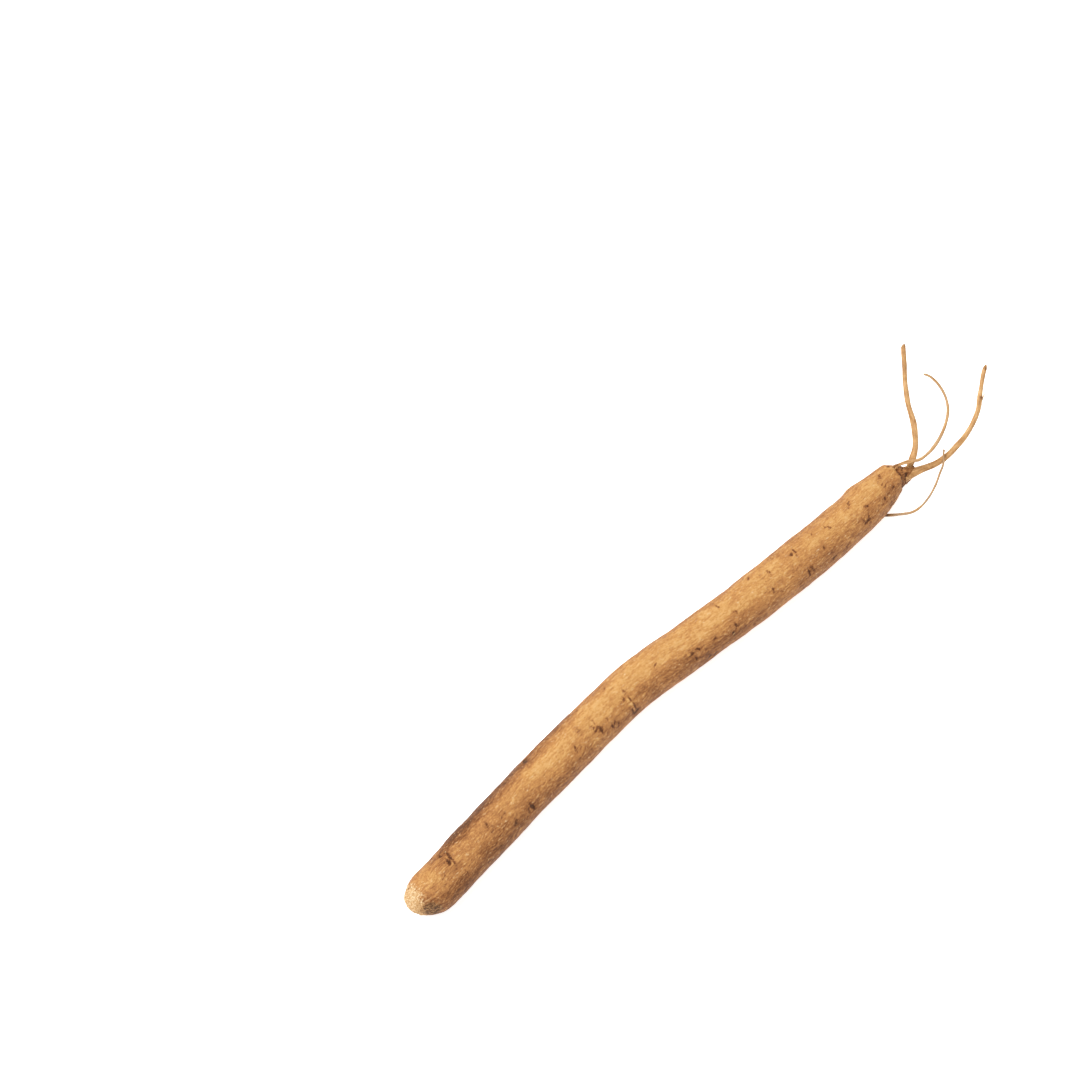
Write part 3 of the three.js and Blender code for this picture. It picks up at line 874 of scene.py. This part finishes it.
# %% Routes of the rootlets
TAIL_ALONG, TAIL_SIDE = -131.75, -10.15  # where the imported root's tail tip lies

# In each shade pair the first number is painted shade at the base, the second a darker tip.
ROOTLETS = {
    "rootlet_upright": {
        "base": [(217.2, 0.6, 7.6, 1.35), (219.4, 1.5, 9.2, 1.0)],
        "points": [
            (221, 2.2, 10.4, 1.1), (224, 4.1, 12.2, 1.0), (227, 7.2, 14.1, 0.95),
            (229, 10, 15.3, 0.9), (231.5, 15, 17.5, 0.85), (235.2, 19.9, 19.4, 0.8),
            (239.2, 24.2, 21, 0.8), (243.8, 29.4, 22.8, 0.85),
        ],
        "nodes": [(17.0, 0.06), (27.5, 0.06), (36.2, 0.06)],
        "spots": [(17.0, -24, 1.6, 0.5), (12.6, 40, 1.2, 0.2), (27.0, 30, 1.4, 0.2),
                  (31.5, -30, 1.2, 0.25), (36.0, 40, 1.4, 0.3), (40.5, 30, 2.0, 0.2)],
        "shade": (0.1, 0.12), "tip": "broken", "pale": 0.0,
    },
    "rootlet_sweeping": {
        "base": [(215.6, 0.6, 7.7, 2.1), (218.4, -0.6, 7.9, 1.45)],
        "points": [
            (221, -1.6, 8.2, 1.2), (226, -3.4, 8.3, 1.05), (231, -3.9, 8.5, 1.05),
            (236, -3.7, 8.8, 0.95), (241, -3, 9.2, 0.9), (246, -1.5, 9.8, 0.85),
            (250.5, 0.6, 10.6, 0.9), (255, 4, 11.7, 0.85), (259.5, 7.2, 12.9, 0.75),
            (263, 9.2, 14, 0.7),
        ],
        "nodes": [(15.0, 0.05), (28.0, 0.05)],
        "spots": [(40.2, -34, 1.3, 0.9), (50.6, -30, 1.6, 0.6), (13.5, -70, 3.0, 0.25),
                  (8.0, -80, 4.0, 0.35), (20.0, -60, 2.0, 0.2), (31.0, -40, 2.0, 0.2),
                  (45.0, -30, 1.6, 0.15)],
        "shade": (0.15, 0.05), "tip": "torn", "pale": 0.0,
    },
    "rootlet_curled": {
        "base": [(212.6, 4.4, 11.0, 0.4), (214.2, 3.9, 11.9, 0.34)],
        "points": [
            (215.5, 3.1, 12.4, 0.35), (218, 1.9, 12.9, 0.4), (220.5, -0.4, 13.4, 0.5),
            (223.5, -1.1, 14.1, 0.55), (227, -1, 15.2, 0.55), (231, -0.1, 16.5, 0.55),
            (235.2, 1.8, 17.9, 0.5), (238.5, 4.3, 19.2, 0.5), (240.8, 8, 20.6, 0.45),
            (241.7, 12, 21.8, 0.45), (241.4, 15.3, 22.7, 0.45), (240.2, 17.4, 23.3, 0.4),
        ],
        "nodes": [(24.0, 0.08), (36.0, 0.08)],
        "spots": [(24.0, -40, 1.6, 0.3), (36.2, 60, 1.2, 0.3), (41.5, 0, 1.6, 0.3)],
        "shade": (0.3, 0.0), "tip": "torn", "pale": 0.35,
    },
    "rootlet_hair": {
        "base": [(201.6, -0.6, 2.6, 0.5), (202.6, -2.0, 1.9, 0.4)],
        "points": [
            (203.5, -3.2, 1.9, 0.45), (207, -6.1, 1.9, 0.45), (210.5, -8.4, 2, 0.45),
            (214, -9.2, 2.5, 0.45), (218, -8.9, 3.7, 0.4), (222, -7.8, 5.2, 0.4),
            (225, -6.5, 7, 0.4), (227.5, -5.5, 9.4, 0.35), (228.7, -4.1, 11, 0.3),
            (230.2, -2.7, 12.2, 0.25),
        ],
        "nodes": [(10.0, 0.1), (24.0, 0.1)],
        "spots": [],
        "shade": (1.0, 0.1), "tip": "torn", "pale": 0.75,
    },
}

# %% Forks of the rootlets
FORKS = {  # fine strands that split off a rootlet, and one stump beside them
    "curled_fork": [(213.5, 3, 12, 0.25), (215.2, 2.5, 12.8, 0.3), (217, 1.5, 13.2, 0.3),
                    (219.5, 0.2, 13.3, 0.3)],
    "collar_stub": [(219, 1, 8.6, 0.5), (219.4, 0.7, 9, 0.55), (219.9, 0.3, 9.3, 0.45)],
    "sweeping_spur": [(250.5, 0.4, 10.4, 0.4), (252.3, 1.3, 10.7, 0.35), (254, 2.1, 11.1, 0.25),
                      (255.8, 2.7, 11.7, 0.1)],
    "hair_fork": [(228.8, -4, 11.1, 0.2), (230, -3.3, 11.7, 0.15), (231, -3, 12.1, 0.08)],
}

# %% Build the rootlets
STRAND_SIDES = 20
STRAND_RINGS = 260


def strand(points, seed, nodes=(), spots=(), shade=(0.2, 0.0), tip="torn", pale=0.0):
    """Rings, masks and grain of one rootlet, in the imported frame, in mm."""
    path = smooth_line(points, STRAND_RINGS)
    line, thick = path[:, :3] + (TAIL_ALONG, TAIL_SIDE, 0), path[:, 3]
    forward = np.gradient(line, axis=0)
    forward /= np.linalg.norm(forward, axis=1)[:, None]
    left = np.cross((0, 0, 1), forward)
    left /= np.linalg.norm(left, axis=1)[:, None]
    over = np.cross(forward, left)
    run = np.append(0, np.cumsum(np.linalg.norm(np.diff(line, axis=0), axis=1)))
    corner = np.linspace(0, 2 * math.pi, STRAND_SIDES, endpoint=False)
    cell = (run[-1] / STRAND_RINGS, 2 * math.pi * thick.mean() / STRAND_SIDES)
    shape = (STRAND_RINGS, STRAND_SIDES)

    swell = np.zeros(STRAND_RINGS)
    for place, amount in nodes:
        swell += amount * np.exp(-(((run - place) / 0.9) ** 2))
    uneven = 0.06 * lumps(shape, cell, (5, 3), seed) + 0.05 * lumps(shape, cell, (6, 0.6), seed + 1)
    left_over = run[-1] - run
    if tip == "torn":
        taper = np.clip(left_over / (2.2 * thick[-1]), 0, 1) ** 0.5
        taper = np.maximum(taper, 0.22)
    else:
        taper = 1 - 0.25 * np.exp(-((left_over / 0.2) ** 2))
    width = thick[:, None] * (1 + swell[:, None] + uneven) * taper[:, None]
    across = left[:, None] * np.sin(corner)[:, None] + over[:, None] * np.cos(corner)[:, None]
    rings = line[:, None] + width[..., None] * across
    if tip == "broken":
        slant = 0.6 * thick[-1] * np.cos(corner + 0.9) * np.exp(-left_over / 0.8)[:, None]
        rings = rings + slant[..., None] * forward[:, None]

    # The first term is painted shade at the rootlet's base, where it leaves the collar; on the hair,
    # whose base lies under the root, it is a painted shadow. The second darkens the tip.
    dark = shade[0] * np.exp(-((run / 5.0) ** 2)) + shade[1] * ramp(run, 0.5 * run[-1], run[-1])
    dark = dark[:, None] * (1 + 0.4 * lumps(shape, cell, (1, 1), seed + 2))
    for place, degrees, length, strength in spots:
        aside = (corner - math.radians(degrees) + math.pi) % (2 * math.pi) - math.pi
        ahead = (run[:, None] - place) / (length / 2)
        dark = np.maximum(dark, strength * np.exp(-(ahead**2) - (aside / 0.6) ** 2))
    straight = np.stack(
        np.broadcast_arrays(
            run[:, None] + 40 * seed, thick[:, None] * np.sin(corner),
            thick[:, None] * np.cos(corner)
        ),
        -1,
    )
    paler = pale * ramp(run, 1, 9)[:, None] * (1 + 0.3 * lumps(shape, cell, (3, 1), seed + 3))
    return rings, {"dark": np.clip(dark, 0, 1), "pale": np.clip(paler, 0, 1)}, straight


for seed, (name, route) in enumerate(ROOTLETS.items()):
    details = {key: route[key] for key in ("nodes", "spots", "shade", "tip", "pale")}
    rings, shade, straight = strand(route["base"] + route["points"], 20 + 5 * seed, **details)
    piece = add_skin(name + "_bark", rings, shade, straight, rootlet_bark)
    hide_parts(name)
    print(f"{piece.name}: {len(piece.data.polygons)} faces")
for seed, (name, points) in enumerate(FORKS.items()):
    # Painted shade at the base of each fork; the stump is dark all over.
    shade = (0.9, 0.9) if name == "collar_stub" else (0.2, 0.0)
    piece = add_skin(name + "_bark", *strand(points, 60 + 5 * seed, shade=shade), rootlet_bark)

# %% [markdown]
# ## Floor, light and camera
#
# The floor is a plain pale sheet, lit evenly from below as on a light table, which keeps the
# shadow under the root soft and pale. One broad soft light stands nearly overhead, leaning to
# the camera's left, and an even white surround fills the rest, as in a light tent. A sun lamp with
# a wide angle is used instead of an area lamp because it lights the whole floor evenly.
#
# The camera looks down at 60 degrees through a long lens, turned so that the root runs from the
# lower left to the upper right.

# %% Floor
FLOOR_SIZE = 60         # metres, so that its edge shows only in the lowest views

bpy.ops.mesh.primitive_plane_add(size=FLOOR_SIZE)
floor = bpy.context.object
floor.name = "floor"
floor_paint, tree = new_material("matt_white_board")
board = add(tree, "ShaderNodeBsdfPrincipled",
            {"Base Color": colour("#f7f7f7"), "Roughness": 0.9, "IOR": 1.4,
             "Emission Color": colour("#ffffff"), "Emission Strength": 0.8})
add(tree, "ShaderNodeOutputMaterial", links={"Surface": board.outputs[0]})
floor.data.materials.append(floor_paint)

# %% Light
CAMERA_TURN = -43.4     # degrees, 0 looks along +Y
CAMERA_TILT = 60.0      # degrees above the floor
KEY_TURN = -129.0       # where the key light comes from, degrees, 0 is the -Y side
KEY_TILT = 71.5

key = bpy.data.objects.new("softbox", bpy.data.lights.new("softbox", "SUN"))
key.data.energy = 3.5
key.data.angle = math.radians(35)
bpy.context.scene.collection.objects.link(key)


def from_direction(turn_degrees, tilt_degrees):
    """The direction towards something seen at that turn and height."""
    a, e = math.radians(turn_degrees), math.radians(tilt_degrees)
    return Vector((math.sin(a) * math.cos(e), -math.cos(a) * math.cos(e), math.sin(e)))


key.rotation_euler = from_direction(KEY_TURN, KEY_TILT).to_track_quat("Z", "Y").to_euler()
world = bpy.data.worlds.new("light_tent")
world.use_nodes = True
world.node_tree.nodes["Background"].inputs["Color"].default_value = colour("#ffffff")
world.node_tree.nodes["Background"].inputs["Strength"].default_value = 0.35
bpy.context.scene.world = world
bpy.context.scene.view_settings.view_transform = "Standard"

# %% Camera
AIM = Vector((-14.1, 56.75, 0.0)) * MM
DISTANCE = 0.960
camera = bpy.data.objects.new("camera", bpy.data.cameras.new("camera"))
camera.data.lens = 100
camera.data.sensor_width = 36
camera.location = AIM + from_direction(CAMERA_TURN, CAMERA_TILT) * DISTANCE
camera.rotation_euler = from_direction(CAMERA_TURN, CAMERA_TILT).to_track_quat("Z", "Y").to_euler()
bpy.context.scene.collection.objects.link(camera)
bpy.context.scene.camera = camera
